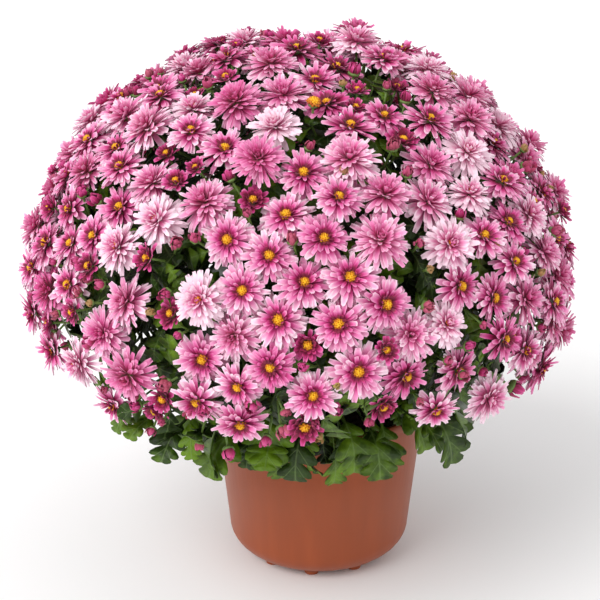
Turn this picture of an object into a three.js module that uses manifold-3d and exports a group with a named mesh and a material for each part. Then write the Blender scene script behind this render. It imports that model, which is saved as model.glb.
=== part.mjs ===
// A chrysanthemum in bloom in its plastic nursery pot: a dome of double blooms carried on
// leafy stems that stand in holes in the potting soil. Millimetres, +Z up, the front towards
// -Y, and the origin on the ground below the middle of the whole plant.
import * as THREE from "three";
import { mergeVertices } from "three/addons/utils/BufferGeometryUtils.js";
import Module from "manifold-3d";

const wasm = await Module();
wasm.setup();

// ---- driving dimensions ----

const clearance = 0.3; // between pieces that touch
const pot = {
  height: 150,
  rimRadius: 95,
  lipHeight: 9,
  lipOverhang: 1.6,
  lipSlope: 0.8, // rise of the lip's underside
  wall: 1.8,
  taper: 0.108, // radius lost for each millimetre down the wall
  cornerRadius: 25, // where the wall turns in to the base
  cornerHeight: 22.5,
  cornerSteps: 3,
  insideSteps: 2,
  baseLift: 4.5, // underside above the ground
  feet: 9,
  footTop: 7,
  footBottom: 6.2,
  footSunk: 1, // into the base
  footSides: 6,
  footRing: 56,
  firstFoot: -47, // degrees from the front
  drains: 5,
  drainRing: 38,
  drainRadius: 5,
  drainSides: 6,
  sides: 24,
};
const soil = {
  top: 138,
  mound: 5,
  edgeDrop: 2, // below its top, at the pot's wall
  holeDepth: 14,
  holeSlack: 1.4,
  holeSides: 4,
};
const dome = { x: -17, z: 267, radius: 231, up: 200, down: 149 };
// Heights of the lowest blooms, as [degrees round from the front, height].
const skirt = [
  [-180, 200],
  [-120, 206],
  [-85, 225],
  [-60, 236],
  [-42, 242],
  [-25, 242],
  [0, 236],
  [25, 222],
  [42, 197],
  [60, 212],
  [85, 222],
  [120, 206],
  [180, 200],
];
const skirtBottom = Math.min(...skirt.map(([, height]) => height));
const plant = {
  seed: 71,
  places: 330, // bloom places all over the dome, before the skirt is cut
  sprays: 24,
  heart: new THREE.Vector3(-6, 0, 128), // the sprays fan out from here
  jitter: 0.5, // radians
  crowding: 0.6, // no bloom starts nearer than this share of two radii to one with its own place
  spread: 0.9, // neighbours are pushed apart to this share of their two radii
  push: 0.3, // share of the shortfall made up in each round
  rounds: 12,
  lean: 0.45,
  lift: 0.18, // blooms turn up towards the light
  proud: [-12, 4], // how far a bloom stands out from the dome
  firstSpray: 0.4, // radians from the front
  lowSprays: 70, // sprays this near above the skirt's edge have leaves over the rim
};
// Shares of a bloom's radius: its depth, its notches, its tips and where a linking petal ends.
const bloomForm = { depth: 0.42, notch: 0.74, low: -0.16, high: 0.02, link: 0.7, sink: 0.05 };
const nearEnough = 95; // blooms further apart than this never meet
const cutCost = 50; // for each millimetre a linking petal would lose to a neighbouring spray
const stem = {
  radius: 2.4,
  topRadius: 1.6,
  sides: 4,
  rings: 4,
  straight: 3, // above the soil's mound, before it bows out
  ring: 58, // the outermost stems leave the soil this far from the heart
  forkDepth: 52, // below the blooms' faces
  forkRadius: 2.8,
  point: 1, // its top inside the fork
  bow: 40, // how far below its fork a stem points straight at it
  overRim: 24,
  gap: 0.5, // from each branch to its bloom's calyx
};
const leafForm = {
  thick: 1.1,
  middle: 0.42, // share of its length where a leaf is thickest
  cup: 0.12,
  sunk: 1.2, // past the middle of its stem
  depth: 22, // below the blooms' faces
  underSkirt: 30, // below the lowest blooms, where a leaf may hang out past the dome
  steps: 12, // tried while a leaf's point is drawn in
  rimGap: 6,
  rimAbove: 12,
};
const rimLeaf = {
  count: 2,
  length: [46.4, 66.7],
  bend: [1.12, 1.92], // radians from its base to its tip
  from: 0.1, // share of its stem's path where the first one grows
  step: 0.06,
  fan: 0.5,
  stray: 0.3,
  dip: 0.25,
  beyond: 20, // the pot's rim, at most, before a blade begins
};
const whorl = {
  leaves: 4,
  reach: [52.8, 72.6],
  rise: [0.18, 0.42], // for each millimetre out
  below: 15, // the fork
  aside: 14, // its middle, from the stem's
  // Each leaf's outline, as [share of its turn, share of its reach].
  outline: [
    [0, 0.3],
    [0.26, 0.78],
    [0.38, 0.58],
    [0.54, 1],
    [0.76, 0.66],
  ],
};
// Half of a leaf's outline from its stalk to its tip, as shares of its length: three lobes a side.
const leafOutline = [
  [0.02, 0.07],
  [0.16, 0.3],
  [0.34, 0.15],
  [0.52, 0.37],
  [0.68, 0.18],
  [0.86, 0.2],
];

// Blooms with a place of their own, as [degrees round from the front, height, diameter, kind].
const ownPlaces = [
  [-47, 202, 40, "open"],
  [-36, 200, 27, "young"],
  [-29, 232, 24, "young"],
  [-12, 223, 42, "open"],
  [1, 224, 30, "young"],
  [29, 222, 38, "open"],
  [44, 217, 45, "double"],
  [-35, 252, 46, "double"],
  [11, 272, 46, "open"],
  [34, 355, 46, "faded"],
  [30, 298, 40, "faded"],
  [-20, 323, 44, "faded"],
  [-9, 436, 44, "faded"],
];
// Share of each kind, its range of diameters, its number of petals in outline and its crown.
const kinds = {
  open: { share: 0.44, from: 38, to: 45, petals: 6, crown: 0.1 },
  double: { share: 0.25, from: 41, to: 49, petals: 6, crown: 0.26 },
  faded: { share: 0.06, from: 40, to: 47, petals: 6, crown: 0.22 },
  young: { share: 0.25, from: 18, to: 28, petals: 4, crown: 0.3 },
};

// ---- solids ----

// A closed three.js geometry as a solid that can be joined and cut.
function solidOf(geometry) {
  const bare = geometry.clone();
  bare.deleteAttribute("normal");
  bare.deleteAttribute("uv");
  const merged = mergeVertices(bare, 1e-4);
  return new wasm.Manifold(
    new wasm.Mesh({
      numProp: 3,
      vertProperties: merged.attributes.position.array,
      triVerts: new Uint32Array(merged.index.array),
    }),
  );
}

// A sphere whose every point is put where pointAt(ring, step) says: ring 0 is its top, and the
// steps of a ring run anticlockwise as seen from there.
function drawnSphere(steps, rings, pointAt) {
  const geometry = new THREE.SphereGeometry(1, steps, rings);
  const place = geometry.attributes.position;
  for (let i = 0; i < place.count; i++) {
    const ring = Math.floor(i / (steps + 1));
    const point = pointAt(ring, (i % (steps + 1)) % steps);
    place.setXYZ(i, point.x, point.y, point.z);
  }
  return solidOf(geometry);
}

function geometryOf(solid) {
  const mesh = solid.getMesh();
  const geometry = new THREE.BufferGeometry();
  geometry.setAttribute("position", new THREE.BufferAttribute(mesh.vertProperties, 3));
  geometry.setIndex(new THREE.BufferAttribute(mesh.triVerts, 1));
  return geometry.toNonIndexed();
}

const joined = (solids) => solids.reduce((all, next) => all.add(next));

// The largest body of a solid: a scrap that touches nothing is dropped.
function mainBody(solid) {
  const bodies = solid.decompose();
  return bodies.reduce((best, next) => (next.volume() > best.volume() ? next : best));
}

const materials = {
  pot: new THREE.MeshStandardMaterial({ color: "#a25a3c", roughness: 0.45 }),
  soil: new THREE.MeshStandardMaterial({ color: "#3a2a20", roughness: 1 }),
  petals: new THREE.MeshStandardMaterial({ color: "#e183b4", roughness: 0.7 }),
  leaves: new THREE.MeshStandardMaterial({ color: "#47652c", roughness: 0.6 }),
};

const part = new THREE.Group();

function addNode(name, solid, material) {
  const mesh = new THREE.Mesh(geometryOf(solid), material);
  mesh.geometry.computeVertexNormals();
  mesh.name = name;
  part.add(mesh);
}

// ---- placing the blooms ----

// Draws from 0 to 1 that come out the same every time.
function drawsFrom(seed) {
  let state = seed;
  return () => {
    state = (state * 16807) % 2147483647;
    return state / 2147483647;
  };
}

const between = ([low, high], draw) => low + (high - low) * draw();

const radians = THREE.MathUtils.degToRad;
const domeCentre = new THREE.Vector3(dome.x, 0, dome.z);
const goldenAngle = Math.PI * (3 - Math.sqrt(5));

// The dome's point at an angle round from the front and an angle down from the top.
function domePoint(around, down) {
  const tall = down < Math.PI / 2 ? dome.up : dome.down;
  const wide = dome.radius * Math.sin(down);
  return new THREE.Vector3(
    dome.x + wide * Math.sin(around),
    -wide * Math.cos(around),
    dome.z + tall * Math.cos(down),
  );
}

// The dome's point nearest to a direction from its centre.
function ontoDome(point) {
  const out = point.clone().sub(domeCentre);
  const tall = out.z > 0 ? dome.up : dome.down;
  const scaled = Math.hypot(out.x / dome.radius, out.y / dome.radius, out.z / tall);
  return out.divideScalar(scaled).add(domeCentre);
}

function domeNormal(point) {
  const out = point.clone().sub(domeCentre);
  const tall = out.z > 0 ? dome.up : dome.down;
  return new THREE.Vector3(
    out.x / dome.radius ** 2,
    out.y / dome.radius ** 2,
    out.z / tall ** 2,
  ).normalize();
}

function skirtHeight(point) {
  const degrees = THREE.MathUtils.radToDeg(Math.atan2(point.x - dome.x, -point.y));
  const next = Math.max(skirt.findIndex(([turn]) => turn >= degrees), 1);
  const [from, low] = skirt[next - 1];
  const [to, high] = skirt[next];
  return THREE.MathUtils.mapLinear(degrees, from, to, low, high);
}

// Angles down from the top that share the dome's area evenly, read at a share from 0 to 1.
function evenDown() {
  const steps = 400;
  const areas = [0];
  for (let i = 0; i < steps; i++) {
    const a = domePoint(0, (Math.PI * i) / steps);
    const b = domePoint(0, (Math.PI * (i + 1)) / steps);
    areas.push(areas[i] - ((a.y + b.y) / 2) * a.distanceTo(b));
  }
  const lowest = areas.findIndex((_, i) => domePoint(0, (Math.PI * i) / steps).z < skirtBottom);
  return (share) => {
    const wanted = share * areas[lowest];
    const i = areas.findIndex((area) => area >= wanted);
    const within = (wanted - areas[i - 1]) / (areas[i] - areas[i - 1]);
    return (Math.PI * (i - 1 + within)) / steps;
  };
}

function kindFor(share) {
  let left = share;
  for (const [name, kind] of Object.entries(kinds)) {
    left -= kind.share;
    if (left < 0) return name;
  }
  return "young";
}

function placeBlooms() {
  const draw = drawsFrom(plant.seed);
  const downAt = evenDown();
  const blooms = ownPlaces.map(([degrees, height, diameter, kind]) => {
    const tall = height > dome.z ? dome.up : dome.down;
    const down = Math.acos((height - dome.z) / tall);
    return { at: domePoint(radians(degrees), down), radius: diameter / 2, kind, fixed: true };
  });
  for (let k = 0; k < plant.places; k++) {
    const around = k * goldenAngle + plant.jitter * (draw() - 0.5);
    const down = downAt((k + 0.5) / plant.places);
    const kind = kindFor(draw());
    const { from, to } = kinds[kind];
    const radius = (from + (to - from) * draw()) / 2;
    const at = domePoint(around, down);
    const crowded = blooms.some(
      (b) => b.fixed && b.at.distanceTo(at) < plant.crowding * (b.radius + radius),
    );
    if (at.z > skirtHeight(at) && !crowded) blooms.push({ at, radius, kind, fixed: false });
  }
  for (let round = 0; round < plant.rounds; round++) {
    const pushes = blooms.map((a) => {
      const push = new THREE.Vector3();
      for (const b of blooms) {
        const away = a.at.clone().sub(b.at);
        const short = plant.spread * (a.radius + b.radius) - away.length();
        if (a !== b && short > 0) push.addScaledVector(away.normalize(), plant.push * short);
      }
      return push;
    });
    blooms.forEach((bloom, i) => {
      if (!bloom.fixed) bloom.at = ontoDome(bloom.at.add(pushes[i]));
    });
  }
  for (const bloom of blooms) {
    const normal = domeNormal(bloom.at);
    const lean = new THREE.Vector3(draw() - 0.5, draw() - 0.5, draw() - 0.5);
    bloom.face = normal.clone().addScaledVector(lean, plant.lean);
    bloom.face.z += plant.lift;
    bloom.face.normalize();
    bloom.at.addScaledVector(normal, between(plant.proud, draw));
    bloom.spin = 2 * Math.PI * draw();
  }
  return blooms;
}

// The blooms in sprays, each bloom in the spray whose direction from the plant's heart is
// nearest its own. The directions start evenly spread and settle at the middle of their blooms.
function gatherSprays(blooms) {
  const downAt = evenDown();
  const sprays = Array.from({ length: plant.sprays }, (_, k) => {
    const around = k * goldenAngle + plant.firstSpray;
    const at = domePoint(around, downAt((k + 0.5) / plant.sprays));
    return { at: at.setZ(Math.max(at.z, skirtHeight(at))) };
  });
  for (let round = 0; round < plant.rounds; round++) {
    for (const spray of sprays) {
      spray.towards = spray.at.clone().sub(plant.heart).normalize();
      spray.blooms = [];
    }
    for (const bloom of blooms) {
      const towards = bloom.at.clone().sub(plant.heart).normalize();
      bloom.spray = sprays.reduce((best, next) =>
        next.towards.dot(towards) > best.towards.dot(towards) ? next : best,
      );
      bloom.spray.blooms.push(bloom);
    }
    for (const spray of sprays) {
      const sum = spray.blooms.reduce((all, { at }) => all.add(at), new THREE.Vector3());
      spray.at = ontoDome(sum.divideScalar(spray.blooms.length));
    }
  }
  return sprays;
}

// Moves a point back towards from, so that it stays on the near side of a plane.
function heldBack(point, from, normal, limit) {
  const out = point.clone().sub(from);
  const reach = out.dot(normal);
  if (reach > limit) out.multiplyScalar(Math.max(limit, 0) / reach);
  return out.add(from);
}

// ---- blooms ----

// What keeps a bloom clear of other blooms: the planes half way between.
function fences(bloom, others) {
  return others
    .filter((other) => other !== bloom && other.at.distanceTo(bloom.at) < nearEnough)
    .map((other) => {
      const normal = other.at.clone().sub(bloom.at);
      const gap = normal.length();
      const limit = (gap * bloom.radius) / (bloom.radius + other.radius) - clearance / 2;
      return { normal: normal.divideScalar(gap), limit };
    });
}

function insideFences(point, bloom, fences) {
  return fences.reduce((p, fence) => heldBack(p, bloom.at, fence.normal, fence.limit), point);
}

// Where the petal that links a bloom to another ends: just inside the nearest of the faces
// below the other's ring.
function linkEnd(bloom, other) {
  const edges = other.ring.map((point, step) => {
    const next = other.ring[(step + 1) % other.ring.length];
    return point.clone().lerp(next, 0.5);
  });
  const nearest = edges.reduce((best, next) =>
    next.distanceTo(bloom.at) < best.distanceTo(bloom.at) ? next : best,
  );
  return calyxOf(other)
    .lerp(nearest, bloomForm.link)
    .addScaledVector(other.face, bloomForm.sink * other.radius);
}

// The ring round a bloom's middle: petal tips, with a notch after each.
function ringOf(bloom) {
  const { petals } = kinds[bloom.kind];
  const turn = new THREE.Quaternion().setFromUnitVectors(new THREE.Vector3(0, 0, 1), bloom.face);
  const across = new THREE.Vector3(1, 0, 0).applyQuaternion(turn);
  const along = new THREE.Vector3(0, 1, 0).applyQuaternion(turn);
  const towardsLink = bloom.link?.clone().sub(bloom.at);
  const spin = bloom.link
    ? Math.atan2(towardsLink.dot(along), towardsLink.dot(across))
    : bloom.spin;

  return Array.from({ length: 2 * petals }, (_, step) => {
    if (step === 0 && bloom.link) return bloom.link;
    const angle = spin + (step * Math.PI) / petals;
    let reach = bloomForm.notch;
    let lift = (bloomForm.low + bloomForm.high) / 2;
    if (step % 2 === 0) {
      reach = 1;
      lift = step % 4 === 0 ? bloomForm.low : bloomForm.high;
    }
    const point = bloom.at
      .clone()
      .addScaledVector(across, bloom.radius * reach * Math.cos(angle))
      .addScaledVector(along, bloom.radius * reach * Math.sin(angle))
      .addScaledVector(bloom.face, bloom.radius * lift);
    return insideFences(point, bloom, bloom.fences);
  });
}

// A bloom is a sphere whose ring is drawn out into petals.
function bloomSolid(bloom) {
  const crown = kinds[bloom.kind].crown * bloom.radius;
  return drawnSphere(bloom.ring.length, 2, (level, step) => {
    if (level === 0) return bloom.at.clone().addScaledVector(bloom.face, crown);
    return level === 1 ? bloom.ring[step] : calyxOf(bloom);
  });
}

function calyxOf(bloom) {
  return bloom.at.clone().addScaledVector(bloom.face, -bloomForm.depth * bloom.radius);
}

// Each bloom after a spray's first is linked to the nearest one that is already held.
function linkBlooms(spray) {
  const held = [spray.blooms[0]];
  held[0].ring = ringOf(held[0]);
  const waiting = spray.blooms.slice(1);
  while (waiting.length) {
    const pairs = waiting.flatMap((bloom) =>
      held.map((other) => {
        const end = linkEnd(bloom, other);
        const cut = insideFences(end.clone(), bloom, bloom.outerFences).distanceTo(end);
        return { bloom, other, end, cost: bloom.at.distanceTo(other.at) + cutCost * cut };
      }),
    );
    const best = pairs.reduce((least, next) => (next.cost < least.cost ? next : least));
    best.bloom.link = insideFences(best.end, best.bloom, best.bloom.outerFences);
    best.bloom.ring = ringOf(best.bloom);
    held.push(best.bloom);
    waiting.splice(waiting.indexOf(best.bloom), 1);
  }
}

// ---- stems ----

// The direction at an angle round an axis, counted from the sideways direction.
function aroundAxis(axis, sideways, angle) {
  const u = sideways.clone().projectOnPlane(axis).normalize();
  const v = axis.clone().cross(u);
  return u.multiplyScalar(Math.cos(angle)).addScaledVector(v, Math.sin(angle));
}

// A stem rises straight out of its hole and then bows out to the fork below its blooms.
function stemPath(spray) {
  const flat = new THREE.Vector3(spray.towards.x, spray.towards.y, 0).normalize();
  const out = stem.ring * Math.sqrt(1 - spray.towards.z);
  const base = flat.clone().multiplyScalar(out).setZ(soil.top + soil.mound + stem.straight);
  base.x += plant.heart.x;
  const foot = base.clone().setZ(soil.top - soil.holeDepth);
  const normal = domeNormal(spray.at);
  const fork = spray.at.clone().addScaledVector(normal, -stem.forkDepth);
  const neck = fork.clone().addScaledVector(normal, -stem.bow);
  neck.z = Math.max(neck.z, pot.height + stem.overRim);
  const sideways = new THREE.Vector3(0, 0, 1).cross(flat);
  return { foot, sideways, curve: new THREE.QuadraticBezierCurve3(base, neck, fork) };
}

// The stem is a sphere drawn out along its path, ring by ring, from its fork to its foot.
function stemSolid({ foot, sideways, curve }) {
  const rings = Array.from({ length: stem.rings }, (_, i) => {
    const share = 1 - i / (stem.rings - 1);
    const radius = stem.radius + (stem.topRadius - stem.radius) * share;
    return { centre: curve.getPointAt(share), axis: curve.getTangentAt(share), radius };
  });
  rings.at(-1).axis = new THREE.Vector3(0, 0, 1);
  rings.push({ ...rings.at(-1), centre: foot });
  return drawnSphere(stem.sides, rings.length + 1, (index, step) => {
    if (index === 0) return curve.getPoint(1).addScaledVector(rings[0].axis, stem.point);
    if (index > rings.length) return foot;
    const { centre, axis, radius } = rings[index - 1];
    const out = aroundAxis(axis, sideways, (2 * Math.PI * step) / stem.sides);
    return centre.clone().addScaledVector(out, radius);
  });
}

// The fork is a sphere with one ring round its middle. Every second point of the ring is drawn
// out into a branch that ends at a bloom's calyx, and those between stay near the stem.
function forkSolid({ blooms: carried, path: { sideways, curve } }) {
  const fork = curve.getPoint(1);
  const axis = curve.getTangent(1);
  const u = aroundAxis(axis, sideways, 0);
  const v = aroundAxis(axis, sideways, Math.PI / 2);
  const ends = carried.map((bloom) => {
    const point = calyxOf(bloom).addScaledVector(bloom.face, -stem.gap);
    const out = point.clone().sub(fork);
    return { point, angle: Math.atan2(out.dot(v), out.dot(u)) };
  });
  ends.sort((a, b) => a.angle - b.angle);
  return drawnSphere(2 * ends.length, 2, (level, step) => {
    if (level !== 1) return fork.clone().addScaledVector(axis, (1 - level) * stem.forkRadius);
    const here = ends[Math.floor(step / 2)];
    if (step % 2 === 0) return here.point;
    const next = ends[(step + 1) / 2]?.angle ?? ends[0].angle + 2 * Math.PI;
    const out = aroundAxis(axis, sideways, (here.angle + next) / 2);
    return fork.clone().addScaledVector(out, stem.forkRadius);
  });
}

// ---- leaves ----

// A leaf is a sphere with one ring round its middle, drawn out into the lobed outline. Its
// first ring point is drawn into the stem as the stalk, and its blade bends over in an arc.
function leafSolid(leaf, fits) {
  const { root, towards, up, length, bend } = leaf;
  const side = new THREE.Vector3().crossVectors(up, towards);
  const ring = [
    ...leafOutline.map(([x, y]) => [x, -y]),
    [1, 0],
    ...leafOutline.toReversed(),
  ];
  const spot = (x, y, lift = 0) => {
    const rise = lift + leafForm.cup * Math.abs(y) * length;
    const out = leaf.stalk + (length / bend) * Math.sin(bend * x) + rise * Math.sin(bend * x);
    const down = (length / bend) * (1 - Math.cos(bend * x)) - rise * Math.cos(bend * x);
    return root
      .clone()
      .addScaledVector(towards, out)
      .addScaledVector(up, -down)
      .addScaledVector(side, y * length);
  };
  const middle = spot(leafForm.middle, 0);
  return drawnSphere(ring.length + 1, 2, (level, step) => {
    if (level !== 1) return spot(leafForm.middle, 0, (1 - level) * leafForm.thick);
    if (step === 0) return root.clone().addScaledVector(towards, -leafForm.sunk);
    return drawnIn(spot(...ring[step - 1]), middle, fits);
  });
}

// Draws a point in towards a middle until it fits.
function drawnIn(point, middle, fits) {
  for (let i = leafForm.steps; i > 1; i--) {
    const nearer = middle.clone().lerp(point, i / leafForm.steps);
    if (fits(nearer)) return nearer;
  }
  return middle.clone().lerp(point, 1 / leafForm.steps);
}

// A leaf's points stay under the blooms, off the pot's rim and in their own part of the fan.
function leafFits(point, spray) {
  const surface = ontoDome(point.clone());
  const depth = surface.distanceTo(domeCentre) - point.distanceTo(domeCentre);
  const underBlooms = depth > leafForm.depth || point.z < skirtBottom - leafForm.underSkirt;
  const clearOfRim =
    point.z > pot.height + leafForm.rimAbove ||
    Math.hypot(point.x, point.y) > pot.rimRadius + leafForm.rimGap;
  const inFan = spray.near.every((other) => {
    const normal = spray.towards.clone().sub(other.towards).normalize();
    return point.clone().sub(plant.heart).dot(normal) > clearance;
  });
  return underBlooms && clearOfRim && inFan;
}

// A whorl of leaves below the fork is one sphere, its ring drawn out into their lobed outlines.
// Its middle lies beside the stem, which passes through one of its blades.
function whorlSolid(spray, fits, draw) {
  const { curve, sideways } = spray.path;
  const share = 1 - whorl.below / curve.getLength();
  const axis = curve.getTangentAt(share);
  const first = 2 * Math.PI * draw();
  const middle = curve.getPointAt(share);
  middle.addScaledVector(aroundAxis(axis, sideways, first), whorl.aside);
  const leaves = Array.from({ length: whorl.leaves }, () => ({
    reach: between(whorl.reach, draw),
    rise: between(whorl.rise, draw),
  }));
  const points = whorl.outline.length;
  return drawnSphere(whorl.leaves * points, 2, (level, step) => {
    if (level !== 1) return middle.clone().addScaledVector(axis, (1 - level) * leafForm.thick);
    const leaf = leaves[Math.floor(step / points)];
    const [turn, far] = whorl.outline[step % points];
    const angle = first + (2 * Math.PI * (Math.floor(step / points) + turn)) / whorl.leaves;
    const reach = leaf.reach * far;
    const point = middle
      .clone()
      .addScaledVector(aroundAxis(axis, sideways, angle), reach)
      .addScaledVector(axis, leaf.rise * reach);
    return drawnIn(point, middle, fits);
  });
}

// The low stems also have leaves near the soil, whose stalks reach out over the pot's rim and
// whose blades hang down outside it.
function leavesOverRim(spray, draw) {
  const { curve, sideways } = spray.path;
  return Array.from({ length: rimLeaf.count }, (_, k) => {
    const fan = k - (rimLeaf.count - 1) / 2;
    const root = curve.getPoint(rimLeaf.from + k * rimLeaf.step);
    const towards = new THREE.Vector3(root.x, root.y, 0)
      .normalize()
      .addScaledVector(sideways, fan * rimLeaf.fan + rimLeaf.stray * (draw() - 0.5))
      .normalize();
    const side = new THREE.Vector3().crossVectors(new THREE.Vector3(0, 0, 1), towards);
    towards.z = -rimLeaf.dip * draw();
    towards.normalize();
    const reach = pot.rimRadius + leafForm.rimGap - Math.hypot(root.x, root.y);
    return {
      root,
      towards,
      up: new THREE.Vector3().crossVectors(towards, side),
      length: between(rimLeaf.length, draw),
      bend: between(rimLeaf.bend, draw),
      stalk: reach + rimLeaf.beyond * draw(),
    };
  });
}

// ---- pot and soil ----

function potRadius(z) {
  return pot.rimRadius - pot.lipOverhang - pot.taper * (pot.height - z);
}

// Points of the wall's face from the base's edge up to the rim, set in from the outside.
function potProfile(inset, steps) {
  const cornerTop = pot.baseLift + pot.cornerHeight;
  const radius = potRadius(cornerTop) - inset;
  const points = [];
  for (let i = 0; i <= steps; i++) {
    const angle = (Math.PI / 2) * (i / steps);
    points.push(
      new THREE.Vector2(
        radius - pot.cornerRadius + pot.cornerRadius * Math.sin(angle),
        cornerTop - (pot.cornerHeight - inset) * Math.cos(angle),
      ),
    );
  }
  return points;
}

function potSolid() {
  const lipBottom = pot.height - pot.lipHeight;
  const outside = [
    new THREE.Vector2(0, pot.baseLift),
    ...potProfile(0, pot.cornerSteps),
    new THREE.Vector2(potRadius(lipBottom), lipBottom),
    new THREE.Vector2(pot.rimRadius, lipBottom + pot.lipSlope),
    new THREE.Vector2(pot.rimRadius, pot.height),
  ];
  const inside = [
    new THREE.Vector2(0, pot.baseLift + pot.wall),
    ...potProfile(pot.wall, pot.insideSteps),
    new THREE.Vector2(potRadius(pot.height) - pot.wall, pot.height),
  ];
  let body = solidOf(new THREE.LatheGeometry([...outside, ...inside.reverse()], pot.sides));
  if (body.volume() < 0) throw new Error("the pot's profile runs the wrong way round");
  body = body.rotate([90, 0, 0]);
  const foot = new THREE.CylinderGeometry(
    pot.footTop,
    pot.footBottom,
    pot.baseLift + pot.footSunk,
    pot.footSides,
  );
  foot.rotateX(Math.PI / 2);
  for (let i = 0; i < pot.feet; i++) {
    const angle = radians(pot.firstFoot + (360 / pot.feet) * i);
    const one = foot.clone();
    one.translate(
      pot.footRing * Math.sin(angle),
      -pot.footRing * Math.cos(angle),
      (pot.baseLift + pot.footSunk) / 2,
    );
    body = body.add(solidOf(one));
  }
  const drain = new THREE.CylinderGeometry(
    pot.drainRadius,
    pot.drainRadius,
    4 * pot.wall,
    pot.drainSides,
  );
  drain.rotateX(Math.PI / 2);
  for (let i = 0; i < pot.drains; i++) {
    const angle = (2 * Math.PI * i) / pot.drains;
    const one = drain.clone();
    one.translate(
      pot.drainRing * Math.sin(angle),
      pot.drainRing * Math.cos(angle),
      pot.baseLift + pot.wall / 2,
    );
    body = body.subtract(solidOf(one));
  }
  return body;
}

// The soil fills the pot up to a low mound, with a hole for each stem.
function soilSolid() {
  const profile = potProfile(pot.wall + clearance, pot.insideSteps);
  const edge = potRadius(soil.top) - pot.wall - clearance;
  const points = [
    new THREE.Vector2(0, pot.baseLift + pot.wall + clearance),
    ...profile,
    new THREE.Vector2(edge, soil.top - soil.edgeDrop),
    new THREE.Vector2(0, soil.top + soil.mound),
  ];
  let body = solidOf(new THREE.LatheGeometry(points, pot.sides)).rotate([90, 0, 0]);
  const radius = stem.radius + soil.holeSlack;
  const depth = 2 * (soil.holeDepth + soil.mound);
  const hole = new THREE.CylinderGeometry(radius, radius, depth, soil.holeSides);
  hole.rotateX(Math.PI / 2);
  for (const { path } of sprays) {
    const { x, y, z } = path.foot;
    const one = hole.clone().translate(x, y, z + depth / 2 - clearance);
    body = body.subtract(solidOf(one));
  }
  return body;
}

// ---- the whole plant ----

const blooms = placeBlooms();
const sprays = gatherSprays(blooms);
for (const bloom of blooms) {
  bloom.fences = fences(bloom, blooms);
  bloom.outerFences = fences(
    bloom,
    blooms.filter((other) => other.spray !== bloom.spray),
  );
}
for (const spray of sprays) {
  spray.near = sprays.filter((other) => other !== spray);
  spray.path = stemPath(spray);
  linkBlooms(spray);
}

addNode("pot", potSolid(), materials.pot);
addNode("soil", soilSolid(), materials.soil);
const draw = drawsFrom(plant.seed + 1);
sprays.forEach((spray, i) => {
  const number = String(i + 1).padStart(2, "0");
  const flowers = joined(spray.blooms.map(bloomSolid));
  addNode("bloom_spray_" + number, mainBody(flowers), materials.petals);
  const fits = (point) => leafFits(point, spray);
  const greens = [stemSolid(spray.path), forkSolid(spray), whorlSolid(spray, fits, draw)];
  if (spray.at.z < skirtHeight(spray.at) + plant.lowSprays) {
    greens.push(...leavesOverRim(spray, draw).map((leaf) => leafSolid(leaf, fits)));
  }
  addNode("leafy_stem_" + number, mainBody(joined(greens)), materials.leaves);
});

// The origin is on the ground, below the middle of the whole plant.
const bounds = new THREE.Box3().setFromObject(part);
part.position.set(
  -(bounds.min.x + bounds.max.x) / 2,
  -(bounds.min.y + bounds.max.y) / 2,
  -bounds.min.z,
);

export default part;
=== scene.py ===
# A pot chrysanthemum: pink blooms on forked leafy stems, in potting soil, in a plastic nursery pot.
# The plant is worked out in millimetres from the middle of the pot's base, and made in metres.
import math
import bmesh
import bpy
import numpy as np
from mathutils import Matrix, Vector


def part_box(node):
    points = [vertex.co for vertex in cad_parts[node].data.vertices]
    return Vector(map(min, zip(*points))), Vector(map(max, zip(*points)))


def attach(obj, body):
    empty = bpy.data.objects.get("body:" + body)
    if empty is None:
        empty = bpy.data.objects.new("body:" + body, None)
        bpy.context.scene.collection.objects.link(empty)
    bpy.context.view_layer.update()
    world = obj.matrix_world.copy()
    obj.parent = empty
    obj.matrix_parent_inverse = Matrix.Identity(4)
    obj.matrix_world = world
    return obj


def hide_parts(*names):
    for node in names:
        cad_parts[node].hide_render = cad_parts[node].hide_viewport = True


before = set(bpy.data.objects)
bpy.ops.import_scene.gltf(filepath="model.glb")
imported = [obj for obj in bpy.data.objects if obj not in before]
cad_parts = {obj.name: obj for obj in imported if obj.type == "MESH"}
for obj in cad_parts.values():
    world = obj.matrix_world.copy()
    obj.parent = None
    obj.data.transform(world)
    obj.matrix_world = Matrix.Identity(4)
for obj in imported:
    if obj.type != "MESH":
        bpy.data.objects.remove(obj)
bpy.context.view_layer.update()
mm = 0.001
potLow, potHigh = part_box("pot")
potMiddle = np.array([(potLow.x + potHigh.x) / 2, (potLow.y + potHigh.y) / 2, 0])
chance = np.random.default_rng(31)  # every small difference between petals and between leaves


def addObject(name, data):
    added = bpy.data.objects.new(name, data)
    bpy.context.scene.collection.objects.link(added)
    return added


def meshOf(form, name):
    mesh = bpy.data.meshes.new(name)
    form.to_mesh(mesh)
    form.free()
    return mesh


view = {"pitch": 22.35, "distance": 1.7, "aim": (-0.017, 0, 0.2373), "lens": 117.8, "sensor": 36,
        "reach": 30}
pitch = math.radians(view["pitch"])
aim = Vector(potMiddle) + Vector(view["aim"])
cameraData = bpy.data.cameras.new("camera")
cameraData.lens = view["lens"]
cameraData.sensor_width = view["sensor"]
cameraData.clip_end = view["reach"]
camera = addObject("camera", cameraData)
camera.location = aim + view["distance"] * Vector((0, -math.cos(pitch), math.sin(pitch)))
camera.rotation_euler = (math.pi / 2 - pitch, 0, 0)
bpy.context.scene.camera = camera
bpy.context.scene.view_settings.view_transform = "Standard"


def rgb(hexColour):
    # an sRGB hex value as the linear colour that a shader takes
    parts = [int(hexColour[i : i + 2], 16) / 255 for i in (1, 3, 5)]
    return [c / 12.92 if c < 0.04045 else ((c + 0.055) / 1.055) ** 2.4 for c in parts] + [1]


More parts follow.
